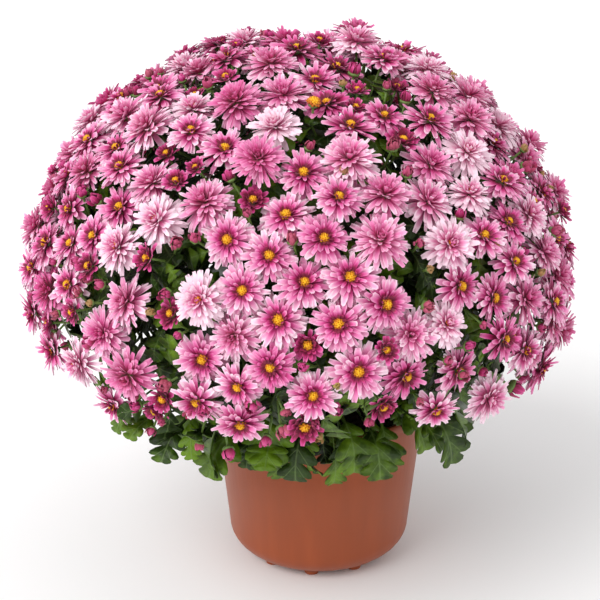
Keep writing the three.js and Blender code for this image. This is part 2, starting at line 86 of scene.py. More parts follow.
def newMaterial(name, **settings):
    material = bpy.data.materials.new(name)
    material.use_nodes = True
    shader = material.node_tree.nodes["Principled BSDF"]
    for key, value in settings.items():
        shader.inputs[key.replace("_", " ")].default_value = value
    return material, material.node_tree, shader


def setInputs(node, inputs):
    # each input, by name or number, takes a value, a link or another node's first output
    for key, value in inputs.items():
        if isinstance(value, bpy.types.Node):
            value = value.outputs[0]
        if isinstance(value, bpy.types.NodeSocket):
            node.id_data.links.new(value, node.inputs[key])
        else:
            node.inputs[key].default_value = value


def addNode(tree, kind, inputs, stops=(), **settings):
    # a node with its settings and inputs, and a ramp's stops as (place from 0 to 1, sRGB hex)
    node = tree.nodes.new("ShaderNode" + kind)
    for key, value in settings.items():
        if hasattr(node, key):
            setattr(node, key, value)
        else:
            node.inputs[key.replace("_", " ")].default_value = value
    setInputs(node, inputs)
    for number, (place, colour) in enumerate(stops):
        elements = node.color_ramp.elements
        element = elements[number] if number < 2 else elements.new(place)
        element.position = place
        element.color = rgb(colour)
    return node


def readMarks(tree):
    # the three numbers that makePiece keeps at each point, as X, Y and Z
    marks = addNode(tree, "Attribute", {}, attribute_name="marks")
    return addNode(tree, "SeparateXYZ", {0: marks.outputs["Vector"]}).outputs


def placeIn(tree):
    # where a point is in the part's frame, in metres
    return addNode(tree, "TexCoord", {}).outputs["Object"]


studio = {
    "ambient": 0.85,
    "key": 1.75,
    "keyFrom": (-0.62, -0.56, 0.8),
    "keyAngle": 44,  # degrees across: a large soft box
    "floor": "#fbfbfb",
    "floorHalf": 9,  # metres
}
world = bpy.data.worlds.new("studio")
world.use_nodes = True
world.node_tree.nodes["Background"].inputs["Color"].default_value = (1, 1, 1, 1)
world.node_tree.nodes["Background"].inputs["Strength"].default_value = studio["ambient"]
bpy.context.scene.world = world
keyData = bpy.data.lights.new("softBox", "SUN")
keyData.energy = studio["key"]
keyData.angle = math.radians(studio["keyAngle"])
keyLight = addObject("softBox", keyData)
keyLight.rotation_euler = Vector(studio["keyFrom"]).to_track_quat("Z", "Y").to_euler()

form = bmesh.new()
bmesh.ops.create_grid(form, x_segments=1, y_segments=1, size=studio["floorHalf"])
floorMesh = meshOf(form, "floor")
paper, tree, shader = newMaterial("whitePaper", Base_Color=rgb(studio["floor"]), Roughness=0.9)
floorMesh.materials.append(paper)
floor = addObject("floor", floorMesh)
print("camera, light and floor are set")

dome = {"x": -17, "z": 267, "radius": 231, "up": 200, "down": 149}
skirt = {
    # heights of the lowest blooms, by degrees round from the front
    "turn": [-180, -120, -85, -60, -42, -25, 0, 25, 42, 60, 85, 120, 180],
    "height": [200, 206, 225, 236, 242, 242, 236, 222, 197, 212, 222, 206, 200],
}
plant = {
    "seed": 71,
    "places": 330,
    "sprays": 24,
    "heart": np.array([-6.0, 0, 128]),  # where the sprays spread from
    "jitter": 0.5,
    "crowding": 0.6,  # of two radii: how near to one with its own place a bloom may be
    "spread": 0.9,  # of two radii: how far apart all blooms are pushed
    "push": 0.3,
    "rounds": 12,
    "lean": 0.45,
    "lift": 0.18,
    "proud": (-12, 4),  # how far a bloom stands out from the dome
    "firstSpray": 0.4,
    "lowSprays": 70,  # above the lowest blooms, under which sprays have leaves over the rim
}
# degrees round from the front, height, diameter and kind of the blooms with places of their own
ownPlaces = [
    (-47, 202, 40, "open"), (-36, 200, 27, "young"), (-29, 232, 24, "young"),
    (-12, 223, 42, "open"), (1, 224, 30, "young"), (29, 222, 38, "open"),
    (44, 217, 45, "double"), (-35, 252, 46, "double"), (11, 272, 46, "open"),
    (34, 355, 46, "faded"), (30, 298, 40, "faded"), (-20, 323, 44, "faded"),
    (-9, 436, 44, "faded"),
]
# share of each kind and its range of diameters
kinds = {
    "open": (0.44, 38, 45),
    "double": (0.25, 41, 49),
    "faded": (0.06, 40, 47),
    "young": (0.25, 18, 28),
}
domeMiddle = np.array([dome["x"], 0.0, dome["z"]])
goldenAngle = math.pi * (3 - math.sqrt(5))
upwards = np.array([0.0, 0, 1])


def drawsFrom(seed):
    # draws from 0 to 1, by Lehmer's rule, that come out the same every time
    factor, limit = 16807, 2147483647
    state = seed

    def draw():
        nonlocal state
        state = state * factor % limit
        return state / limit

    return draw


def unit(vector):
    return vector / np.linalg.norm(vector)


def domePoint(around, down):
    tall = dome["up"] if down < math.pi / 2 else dome["down"]
    wide = dome["radius"] * math.sin(down)
    out = [wide * math.sin(around), -wide * math.cos(around), tall * math.cos(down)]
    return domeMiddle + np.array(out)


def domeAt(degrees, height):
    tall = dome["up"] if height > dome["z"] else dome["down"]
    return domePoint(math.radians(degrees), math.acos((height - dome["z"]) / tall))


def domeScale(points):
    # how far out points lie, where 1 is on the dome
    out = points - domeMiddle
    tall = np.where(out[..., 2] > 0, dome["up"], dome["down"])
    flat = np.hypot(out[..., 0], out[..., 1]) / dome["radius"]
    return np.hypot(flat, out[..., 2] / tall)


def ontoDome(point):
    return domeMiddle + (point - domeMiddle) / domeScale(point)


def domeNormal(point):
    out = point - domeMiddle
    tall = dome["up"] if out[2] > 0 else dome["down"]
    return unit(out / np.array([dome["radius"], dome["radius"], tall]) ** 2)


def skirtHeight(points):
    degrees = np.degrees(np.arctan2(points[..., 0] - dome["x"], -points[..., 1]))
    return np.interp(degrees, skirt["turn"], skirt["height"])


def evenDown():
    # angles down from the top that share the dome's area evenly
    steps = 400
    line = [domePoint(0, math.pi * i / steps) for i in range(steps + 1)]
    areas = [0.0]
    for a, b in zip(line, line[1:]):
        areas.append(areas[-1] - (a[1] + b[1]) / 2 * np.linalg.norm(a - b))
    lowest = next(i for i, point in enumerate(line) if point[2] < min(skirt["height"]))

    def downAt(share):
        wanted = share * areas[lowest]
        i = int(np.searchsorted(areas, wanted))
        within = (wanted - areas[i - 1]) / (areas[i] - areas[i - 1])
        return math.pi * (i - 1 + within) / steps

    return downAt


def kindFor(share):
    for name, (part, _, _) in kinds.items():
        share -= part
        if share < 0:
            return name
    return "young"


def placeBlooms():
    draw = drawsFrom(plant["seed"])
    downAt = evenDown()
    blooms = []
    for degrees, height, diameter, kind in ownPlaces:
        at = domeAt(degrees, height)
        blooms.append({"at": at, "radius": diameter / 2, "kind": kind, "fixed": True})
    for k in range(plant["places"]):
        around = k * goldenAngle + plant["jitter"] * (draw() - 0.5)
        at = domePoint(around, downAt((k + 0.5) / plant["places"]))
        kind = kindFor(draw())
        _, low, high = kinds[kind]
        radius = (low + (high - low) * draw()) / 2
        crowded = any(
            b["fixed"]
            and np.linalg.norm(b["at"] - at) < plant["crowding"] * (b["radius"] + radius)
            for b in blooms
        )
        if at[2] > skirtHeight(at) and not crowded:
            blooms.append({"at": at, "radius": radius, "kind": kind, "fixed": False})
    radii = np.array([b["radius"] for b in blooms])
    wanted = plant["spread"] * (radii[:, None] + radii)
    np.fill_diagonal(wanted, 0)
    for _ in range(plant["rounds"]):
        at = np.array([b["at"] for b in blooms])
        away = at[:, None] - at
        apart = np.maximum(np.linalg.norm(away, axis=2), 1e-9)
        short = np.maximum(wanted - apart, 0)
        pushes = (away * (plant["push"] * short / apart)[:, :, None]).sum(axis=1)
        for bloom, push in zip(blooms, pushes):
            if not bloom["fixed"]:
                bloom["at"] = ontoDome(bloom["at"] + push)
    for bloom in blooms:
        normal = domeNormal(bloom["at"])
        lean = np.array([draw() - 0.5, draw() - 0.5, draw() - 0.5])
        bloom["face"] = unit(normal + plant["lean"] * lean + plant["lift"] * upwards)
        bloom["at"] = bloom["at"] + np.interp(draw(), (0, 1), plant["proud"]) * normal
        bloom["spin"] = 2 * math.pi * draw()
    return blooms


def gatherSprays(blooms):
    downAt = evenDown()
    sprays = []
    for k in range(plant["sprays"]):
        around = k * goldenAngle + plant["firstSpray"]
        at = domePoint(around, downAt((k + 0.5) / plant["sprays"]))
        at[2] = max(at[2], skirtHeight(at))
        sprays.append({"at": at})
    places = np.array([b["at"] for b in blooms])
    directions = places - plant["heart"]
    directions /= np.linalg.norm(directions, axis=1)[:, None]
    for _ in range(plant["rounds"]):
        for spray in sprays:
            spray["towards"] = unit(spray["at"] - plant["heart"])
        owner = (directions @ np.array([s["towards"] for s in sprays]).T).argmax(axis=1)
        for i, spray in enumerate(sprays):
            spray["blooms"] = [b for b, own in zip(blooms, owner) if own == i]
            spray["at"] = ontoDome(places[owner == i].mean(axis=0))
    return sprays


blooms = placeBlooms()
sprays = gatherSprays(blooms)
bloomPlaces = np.array([b["at"] for b in blooms])
bloomRadii = np.array([b["radius"] for b in blooms])
print(f"{len(blooms)} blooms in {len(sprays)} sprays are placed")


def roundBlank(around, along, slot=0, crisp=False):
    # a sphere: level runs from 0 at its foot to 1 at its tip, across and over go round it; the
    # two sides of a crisp one meet in a sharp edge
    form = bmesh.new()
    bmesh.ops.create_uvsphere(form, u_segments=around, v_segments=along, radius=1)
    points = np.array([v.co for v in form.verts])
    nearAxis = 1e-4
    out = np.hypot(points[:, 0], points[:, 1])
    ring = out > nearAxis
    level = np.arctan2(np.where(ring, out, 0), -points[:, 2]) / math.pi
    across, over = np.where(ring, points[:, :2].T / np.maximum(out, nearAxis), 0)
    for edge in form.edges:
        if crisp and all(abs(over[v.index]) < 0.01 for v in edge.verts):
            edge.smooth = False
    return {"mesh": finishBlank(form, slot), "level": level, "across": across, "over": over,
            "along": along}


def sheetBlank(along, across):
    # a thin sheet with two faces: level runs along it, across from side to side
    form = bmesh.new()
    bmesh.ops.create_grid(form, x_segments=along, y_segments=across, size=1)
    bmesh.ops.solidify(form, geom=form.faces[:], thickness=0.2)
    bmesh.ops.recalc_face_normals(form, faces=form.faces)
    points = np.array([v.co for v in form.verts])
    over = np.sign(points[:, 2] - points[:, 2].mean())
    return {"mesh": finishBlank(form), "level": (points[:, 0] + 1) / 2,
            "across": points[:, 1], "over": over}


def finishBlank(form, slot=0):
    for face in form.faces:
        face.smooth = True
        face.material_index = slot
    return meshOf(form, "blank")


blanks = {
    "petal": roundBlank(4, 5, crisp=True),
    "shortPetal": roundBlank(4, 4, crisp=True),
    "floret": roundBlank(5, 2, slot=1),
    "stem": roundBlank(7, 16, slot=1),
    "branch": roundBlank(5, 6, slot=1),
    "calyx": roundBlank(6, 4, slot=1),
    "crumb": roundBlank(5, 3),
    "leaf": sheetBlank(24, 2),
    "innerLeaf": sheetBlank(15, 2),
    "smallLeaf": sheetBlank(12, 1),
}


def addPiece(name, mesh, materials, node):
    for material in materials:
        mesh.materials.append(material)
    piece = addObject(name, mesh)
    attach(piece, "root")
    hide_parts(node)


def makePiece(name, copies, materials, node):
    # copies of blanks joined in one mesh, each with its own points and marks
    form = bmesh.new()
    for copy in copies:
        for _ in copy["points"]:
            form.from_mesh(copy["blank"]["mesh"])
    mesh = meshOf(form, name)
    points = np.concatenate([copy["points"].reshape(-1, 3) for copy in copies])
    marks = np.concatenate([copy["marks"].reshape(-1, 3) for copy in copies])
    mesh.vertices.foreach_set("co", (points * mm + potMiddle).astype(np.float32).ravel())
    attribute = mesh.attributes.new("marks", "FLOAT_VECTOR", "POINT")
    attribute.data.foreach_set("vector", marks.astype(np.float32).ravel())
    mesh.update()
    addPiece(name, mesh, materials, node)


def copyOf(blankName, points, *marks):
    # points hold a row for each copy, and up to three marks follow, which colour each point
    marks = [np.broadcast_to(mark, points.shape[:2]) for mark in (*marks, 0, 0, 0)[:3]]
    return {"blank": blanks[blankName], "points": points, "marks": np.stack(marks, axis=2)}


petalForm = {
    # half width along a petal, from its narrow claw to its rounded tip
    "level": [0, 0.2, 0.4, 0.6, 0.8, 1],
    "place": [0, 0.13, 0.4, 0.72, 0.94, 1],
    "width": [0, 0.42, 0.84, 1, 0.68, 0],
    "shortest": 0.8,  # share of the bloom's radius, under which a petal is drawn with fewer faces
    "thick": 0.3,
    "cup": 0.3,
    "notch": 0.09,
    "reach": 1.075,  # of the outermost petals, in their bloom's radius
    "sideFrom": (0.31, 0.83, 0.46),  # a direction that no bloom faces
    "layerTurn": 40,
    "unstraight": 0.3,  # degrees of curl that keep a petal from being dead straight
    "toneAt": (0.25, 0.6, 0.98),
    "heart": (1.2, 2.4),  # how strong the heart's warmer tone is and how fast it fades outwards
    # what makes each petal a little different from the others in its layer
    "turnStray": (-0.25, 0.25),  # of the gap between two petals
    "long": (0.82, 1.06),
    "wide": (0.76, 1.12),
    "tiltStray": 10,  # degrees
    "curlStray": 13,
    "twist": 0.28,
    "cups": (0.2, 1.6),
    "notches": (0, 1.6),
    "toneStray": 0.07,
}
# each layer of petals: their number, the radius and height that they spring from, their length
# and width as shares of the bloom's radius, their tilt and curl in degrees, and their tone at
# the claw, the middle and the tip, from 0, deep magenta, to 1, nearly white
layers = {
    "open": [
        (18, 0.10, -0.15, 0.96, 0.225, 0, -16, (0.16, 0.74, 0.98)),
        (17, 0.10, -0.11, 0.89, 0.22, 11, -18, (0.06, 0.7, 0.97)),
        (16, 0.09, -0.07, 0.75, 0.19, 23, -18, (-0.05, 0.62, 0.96)),
        (13, 0.09, -0.03, 0.55, 0.15, 37, -14, (-0.12, 0.3, 0.92)),
        (10, 0.12, 0.00, 0.34, 0.12, 54, -4, (-0.2, -0.12, 0.34)),
    ],
    "double": [
        (22, 0.08, -0.15, 0.96, 0.19, 0, -20, (0.44, 0.78, 0.97)),
        (21, 0.08, -0.10, 0.90, 0.19, 11, -20, (0.4, 0.76, 0.97)),
        (20, 0.08, -0.04, 0.79, 0.18, 23, -16, (0.34, 0.72, 0.96)),
        (18, 0.07, 0.00, 0.67, 0.16, 36, -8, (0.28, 0.66, 0.94)),
        (15, 0.06, 0.03, 0.54, 0.14, 50, 4, (0.22, 0.54, 0.88)),
        (12, 0.05, 0.04, 0.42, 0.12, 64, 16, (0.14, 0.38, 0.76)),
        (8, 0.03, 0.04, 0.31, 0.1, 78, 26, (0.08, 0.24, 0.58)),
    ],
    "young": [
        (13, 0.20, -0.30, 0.88, 0.34, 24, 4, (0, 0.2, 0.64)),
        (12, 0.20, -0.26, 0.74, 0.29, 40, 10, (-0.06, 0.04, 0.38)),
        (10, 0.22, -0.20, 0.54, 0.23, 60, 16, (-0.1, -0.02, 0.2)),
    ],
    "bud": [
        (9, 0.15, -0.8, 2.0, 0.66, 25, 125, (0, 0.16, 0.46)),
        (6, 0.08, -0.75, 1.8, 0.6, 32, 118, (-0.05, 0.08, 0.34)),
    ],
}
layers["faded"] = layers["double"]
layers["bare"] = []
eyes = {
    "open": {"radius": 0.195, "florets": 26, "rise": 0.06, "height": 0.13},
    "faded": {"radius": 0.12, "florets": 11, "rise": 0.2, "height": 0.07},
    "young": {"radius": 0.27, "florets": 20, "rise": 0.0, "height": 0.16},
    "bare": {"radius": 0.9, "florets": 34, "rise": 0.1, "height": 0.5},
}
floretForm = {"wide": 1.5, "long": 2.2, "sunk": 0.8, "stray": (-0.2, 0.3), "toneStray": 0.12}


def facing(bloom):
    # columns are the bloom's two sideways directions and the way it faces
    side = unit(np.cross(bloom["face"], petalForm["sideFrom"]))
    turned = np.cross(bloom["face"], side)
    return np.stack([side, turned, bloom["face"]], axis=1)


def petalLayer(layer, bloom, tint):
    count, base, rise, length, width, tilt, curl, tones = layer
    petal = petalForm
    shut = bloom["kind"] == "bud"
    blankName = "petal" if length > petal["shortest"] and not shut else "shortPetal"
    blank = blanks[blankName]
    size = bloom["radius"] * (1 if shut else petal["reach"])
    each = (count, 1)
    turn = bloom["spin"] + base * petal["layerTurn"] + 2 * math.pi * (
        np.arange(count)[:, None] + chance.uniform(*petal["turnStray"], each)
    ) / count
    long = length * size * chance.uniform(*petal["long"], each)
    wide = width * size * chance.uniform(*petal["wide"], each)
    tilted = np.radians(tilt + chance.normal(0, petal["tiltStray"], each))
    curled = np.radians(curl + chance.normal(0, petal["curlStray"], each) + petal["unstraight"])
    twist = chance.normal(0, petal["twist"], each)
    place = np.interp(blank["level"], petal["level"], petal["place"])
    tip = blank["level"] > 0.99
    place = place - petal["notch"] * chance.uniform(*petal["notches"], each) * tip
    half = np.interp(blank["level"], petal["level"], petal["width"])
    bend = tilted + curled * place
    out = base * size + long / curled * (np.sin(bend) - np.sin(tilted))
    up = rise * size + long / curled * (np.cos(tilted) - np.cos(bend))
    side = blank["across"] * half * wide / 2
    cup = petal["cup"] * chance.uniform(*petal["cups"], each)
    lift = cup * np.abs(side) + twist * side + petal["thick"] * blank["over"]
    radial = out - lift * np.sin(bend)
    points = np.stack([radial * np.cos(turn) - side * np.sin(turn),
                       radial * np.sin(turn) + side * np.cos(turn),
                       up + lift * np.cos(bend)], axis=2)
    tone = np.interp(place, petal["toneAt"], tones) + tint
    tone = tone + chance.normal(0, petal["toneStray"], each)
    strong, fading = petal["heart"]
    heart = 1 if shut else np.clip(strong - fading * place * length, 0, 1)
    return copyOf(blankName, points @ facing(bloom).T + bloom["at"], tone,
                  blank["across"] * half, bloom["warm"] * heart)


def eyeOf(bloom):
    eye = eyes[bloom["kind"]]
    blank = blanks["floret"]
    count = eye["florets"]
    order = (np.arange(count) + 0.5)[:, None]
    turn = order * goldenAngle
    share = np.sqrt(order / count)
    out = eye["radius"] * bloom["radius"] * share
    size = eye["radius"] * bloom["radius"] * floretForm["wide"] / math.sqrt(count)
    top = bloom["radius"] * (eye["rise"] + eye["height"] * (1 - share**2))
    top = top + chance.uniform(*floretForm["stray"], (count, 1))
    long = floretForm["long"] * size
    points = np.stack([out * np.cos(turn) + size * blank["across"],
                       out * np.sin(turn) + size * blank["over"],
                       top + long * (blank["level"] - floretForm["sunk"])], axis=2)
    # the tone grows from the middle to the rim, where the florets' material paints shade
    tone = share + chance.normal(0, floretForm["toneStray"], (count, 1))
    return copyOf("floret", points @ facing(bloom).T + bloom["at"], tone)


# how much paler each bloom is, the share of newly open, deeper ones, and the warmth at the heart
tints = {"faded": 0.24, "stray": 0.05, "newShare": 0.16, "newDeeper": 0.2,
         "doubleWarm": (0.1, 0.9), "fadedWarm": 0.3}


def bloomCopies(bloom):
    kind = bloom["kind"]
    tint = chance.normal(tints["faded"] if kind == "faded" else 0, tints["stray"])
    if kind in ("open", "double") and chance.uniform() < tints["newShare"]:
        tint -= tints["newDeeper"]
    if kind != "bud":
        warmths = {"double": chance.uniform(*tints["doubleWarm"]), "faded": tints["fadedWarm"]}
        bloom["warm"] = warmths.get(kind, 0)
    copies = [petalLayer(layer, bloom, tint) for layer in layers[kind]]
    if kind in eyes:
        copies.append(eyeOf(bloom))
    return copies


# Petal: soft living tissue, matt with a slight sheen; magenta at the claw, pale towards the tip,
# with fine veins along it and a paler edge.
petalLook = {
    "veins": 17,  # about six over a petal's width
    "veinDepth": 0.03,
    "blotches": 260,  # about 4 mm across
    "mottling": 0.14,
    "deeper": 0.13,  # taken off every tone
    "paleEdge": 0.24,
    "tones": [(0, "#780636"), (0.14, "#a60e56"), (0.36, "#d03a88"), (0.6, "#e274ac"),
              (0.82, "#f0a2c8"), (1, "#fbdcea")],
    "salmon": "#b85468",  # at the heart of double and faded blooms, and on some buds
    "unripe": "#a9a040",
}
petalTissue, tree, shader = newMaterial("petalTissue", Roughness=0.6, Sheen_Weight=0.12)
parts = readMarks(tree)
blotch = addNode(tree, "TexNoise", {"Vector": placeIn(tree)}, Scale=petalLook["blotches"], Detail=3)
veins = addNode(tree, "Math", {0: parts["Y"], 1: petalLook["veins"]}, operation="MULTIPLY")
wave = addNode(tree, "Math", {0: veins}, operation="COSINE")
veined = addNode(tree, "Math", {0: wave, 1: petalLook["veinDepth"], 2: parts["X"]},
                 operation="MULTIPLY_ADD")
mottled = addNode(tree, "Math", {0: blotch, 1: petalLook["mottling"], 2: veined},
                  operation="MULTIPLY_ADD")
centred = addNode(tree, "Math", {0: mottled, 1: petalLook["deeper"]}, operation="SUBTRACT")
edging = addNode(tree, "Math", {0: parts["Y"], 1: parts["Y"]}, operation="MULTIPLY")
edged = addNode(tree, "Math", {0: edging, 1: petalLook["paleEdge"], 2: centred},
                operation="MULTIPLY_ADD")
pink = addNode(tree, "ValToRGB", {0: edged}, petalLook["tones"])
salmon = addNode(tree, "Mix", {0: parts["Z"], 6: pink, 7: rgb(petalLook["salmon"])},
                 data_type="RGBA")
greenish = addNode(tree, "Math", {0: parts["Z"], 1: 1}, operation="SUBTRACT", use_clamp=True)
unripe = addNode(tree, "Mix", {0: greenish, 6: salmon.outputs[2], 7: rgb(petalLook["unripe"])},
                 data_type="RGBA")
setInputs(shader, {"Base Color": unripe.outputs[2]})

# Florets of the eye: waxy yellow tubes, bright yellow in the middle and orange-brown towards the
# rim; the orange-brown at the rim is painted shade, where the eye's dome turns away from the light.
eyeFlorets, tree, shader = newMaterial("eyeFlorets", Roughness=0.55)
# bright yellow in the middle, going to painted shade in orange-brown at the eye's rim
yellowWithPaintedRimShade = addNode(tree, "ValToRGB", {0: readMarks(tree)["X"]},
                 [(0.1, "#f8c61c"), (0.6, "#eea416"), (1, "#bd5c12")])
setInputs(shader, {"Base Color": yellowWithPaintedRimShade})

for number, spray in enumerate(sprays, 1):
    copies = [copy for bloom in spray["blooms"] for copy in bloomCopies(bloom)]
    makePiece(f"blooms_{number:02d}", copies, [petalTissue, eyeFlorets],
              f"bloom_spray_{number:02d}")
print("petals are made")

stemForm = {
    "ring": 58,
    "baseHeight": 146,
    "foot": 124.3,  # in the soil
    "forkDepth": 52,
    "bow": 40,
    "overRim": 174,
    "radius": 2.4,
    "topRadius": 1.5,
    "sideFrom": (0.36, 0.48, 0.8),
}


def bezier(points, share):
    a, b, c = (np.asarray(p) for p in points)
    share = np.asarray(share)[..., None]
    return (1 - share) ** 2 * a + 2 * share * (1 - share) * b + share**2 * c


def lineStep(points, share):
    # a short step along a bowed line, which shows its direction
    return bezier(points, share + 0.01) - bezier(points, share - 0.01)


def tube(blankName, points, low, high):
    # a stem along a bowed line, its radius going from low at the foot to high at the tip
    blank = blanks[blankName]
    ends = 1 / blank["along"]
    share = np.clip((blank["level"] - ends) / (1 - 2 * ends), 0, 1)
    middle = bezier(points, share)
    tangent = lineStep(points, share)
    tangent /= np.linalg.norm(tangent, axis=1)[:, None]
    side = np.cross(stemForm["sideFrom"], tangent)
    side /= np.linalg.norm(side, axis=1)[:, None]
    up = np.cross(tangent, side)
    radius = (low + (high - low) * share)[:, None]
    surface = middle + radius * (blank["across"][:, None] * side + blank["over"][:, None] * up)
    return copyOf(blankName, surface[None], share)


def nearestTo(point, some):
    # the spray that lies most nearly in a point's direction
    towards = unit(point - plant["heart"])
    return max(some, key=lambda spray: spray["towards"] @ towards)


def stemPath(spray):
    flat = unit(spray["towards"] * [1, 1, 0])
    base = flat * stemForm["ring"] * math.sqrt(1 - spray["towards"][2])
    base = base + [plant["heart"][0], 0, stemForm["baseHeight"]]
    normal = domeNormal(spray["at"])
    fork = spray["at"] - stemForm["forkDepth"] * normal
    neck = fork - stemForm["bow"] * normal
    neck[2] = max(neck[2], stemForm["overRim"])
    return base, neck, fork


leafForm = {
    # half width along a leaf: a stalk, then three rounded lobes a side and one at the tip
    "place": [0, 0.08, 0.15, 0.18, 0.22, 0.28, 0.34, 0.385, 0.405, 0.44, 0.5, 0.56, 0.61,
              0.65, 0.67, 0.7, 0.75, 0.8, 0.84, 0.86, 0.89, 0.93, 0.97, 0.99, 1],
    "width": [0.02, 0.018, 0.03, 0.06, 0.12, 0.21, 0.24, 0.2, 0.07, 0.22, 0.34, 0.39, 0.37,
              0.28, 0.1, 0.23, 0.31, 0.31, 0.25, 0.15, 0.22, 0.2, 0.13, 0.08, 0],
    "stalk": 0.15,
    "forward": 0.3,  # lobes reach towards the tip
    "thick": 0.32,
    "wide": (0.9, 1.1),
    "cup": 0.2,
    "cups": (-0.4, 1.8),
    "wave": 0.14,
    "waveStep": 14,
    "stalkThick": 2.2,  # times the blade's
    "toneStep": 4,  # how much a leaf's own tone counts beside which face it is, the upper face painted light and the lower painted shade
    "depth": 20,  # below the blooms' faces
    "free": (-40, -15),  # heights from the lowest blooms: under the first a leaf hangs free
    "pot": (70, 101, 158),  # the ring that leaves keep out of: inner and outer radius, and top
}
stemLeaf = {"count": 16, "from": 0.4, "forward": (0.25, 0.9), "turnedUp": 0.3,
            "sideFrom": (0.2, 0.1, 0.97), "length": (32, 56), "bend": (0.3, 1.1), "tone": (0, 0.6)}
rimLeaf = {"count": 2, "from": 0.1, "step": 0.06, "fan": 0.5, "stray": 0.3, "dip": 0.25,
           "reach": 101, "length": (46.4, 66.7), "bend": (1.12, 1.92), "beyond": 20,
           "tone": (0.1, 0.6)}
# smaller leaves among them, this many round the rim
fringe = {
    "count": 124,
    "out": (98, 122),
    "up": (152, 186),
    "length": (24, 44),
    "bend": (0.6, 1.5),
    "tone": (0.1, 0.9),
    "from": (0.08, 0.6),
    "stray": 0.4,
    "sparse": (0.45, 1.35),  # radians round, between which they are shorter and higher up
    "shorter": 0.6,
    "raised": 15,
}


def leafCopy(blankName, root, towards, up, length, bend, tone, stalk=None):
    # a lobed blade on a straight stalk that bends over in an arc
    blank = blanks[blankName]
    stalk = leafForm["stalk"] * length if stalk is None else stalk
    towards = unit(towards)
    side = unit(np.cross(up, towards))
    up = np.cross(towards, side)
    place = np.interp(blank["level"], np.linspace(0, 1, len(leafForm["place"])), leafForm["place"])
    half = np.interp(place, leafForm["place"], leafForm["width"])
    half = half * chance.uniform(*leafForm["wide"])
    across = blank["across"] * half
    blade = np.maximum(place - leafForm["stalk"], 0) / (1 - leafForm["stalk"])
    blade = blade + leafForm["forward"] * np.abs(across) * (blade > 0)
    wave = np.sin(leafForm["waveStep"] * place + chance.uniform(0, 6))
    wave = leafForm["wave"] * wave * np.abs(across)
    cup = leafForm["cup"] * np.abs(across) * chance.uniform(*leafForm["cups"])
    thick = leafForm["thick"] * blank["over"]
    rise = length * (cup + wave) + thick * np.where(blade > 0, 1, leafForm["stalkThick"])
    angle = bend * blade
    out = stalk * np.minimum(place / leafForm["stalk"], 1) + length / bend * np.sin(angle)
    out = out + rise * np.sin(angle)
    down = length / bend * (1 - np.cos(angle)) - rise * np.cos(angle)
    points = root + out[:, None] * towards - down[:, None] * up + (across * length)[:, None] * side
    # the third mark holds the face, painted light above and painted shade beneath, together with
    # the leaf's own tone
    return copyOf(blankName, keptInside(points)[None], place, across,
                  blank["over"] + leafForm["toneStep"] * tone)


def keptInside(points):
    # under the blooms, unless they hang below them, and outside or above the pot's rim
    limit = 1 - leafForm["depth"] / dome["radius"]
    held = np.interp(points[:, 2] - skirtHeight(points), leafForm["free"], (0, 1))
    shrink = 1 - held * (1 - np.minimum(1, limit / domeScale(points)))
    points = domeMiddle + (points - domeMiddle) * shrink[:, None]
    out = np.hypot(points[:, 0], points[:, 1])
    inner, outer, top = leafForm["pot"]
    low = (points[:, 2] < top) & (out > inner) & (out < outer)
    points[:, :2] *= np.where(low, outer / np.maximum(out, 1), 1)[:, None]
    return points


def sizesIn(form):
    # a leaf's length, bend and tone
    return [chance.uniform(*form[key]) for key in ("length", "bend", "tone")]


def stemLeaves(path):
    # leaves all round the upper stem, the higher ones spread out under the blooms
    copies = []
    first = chance.uniform(0, 2 * math.pi)
    start = stemLeaf["from"]
    for k in range(stemLeaf["count"]):
        share = start + (1 - start) * (k + chance.uniform(0, 1)) / stemLeaf["count"]
        axis = unit(lineStep(path, share))
        sideways = unit(np.cross(axis, stemLeaf["sideFrom"]))
        turn = first + k * goldenAngle
        around = math.cos(turn) * sideways + math.sin(turn) * np.cross(axis, sideways)
        towards = around + axis * chance.uniform(*stemLeaf["forward"])
        up = axis + stemLeaf["turnedUp"] * upwards
        copies.append(leafCopy("innerLeaf", bezier(path, share), towards, up,
                               *sizesIn(stemLeaf)))
    return copies


# degrees round from the front, height and length of the leaves with places of their own
ownLeaves = [
    (-52, 192, 34), (-45, 184, 38), (-38, 180, 40), (-33, 187, 30),
    (-28, 174, 36), (36, 184, 34), (47, 190, 36),
]
ownLeafForm = {"in": 0.86, "bend": 0.9}


def leafTo(edge, path, length, bend):
    # a leaf whose stalk runs from a stem to where its blade begins
    root = bezier(path, chance.uniform(*fringe["from"]))
    towards = edge - root
    side = np.cross(upwards, towards)
    return leafCopy("leaf", root, towards, np.cross(towards, side), length, bend,
                    chance.uniform(*fringe["tone"]), stalk=np.linalg.norm(towards))


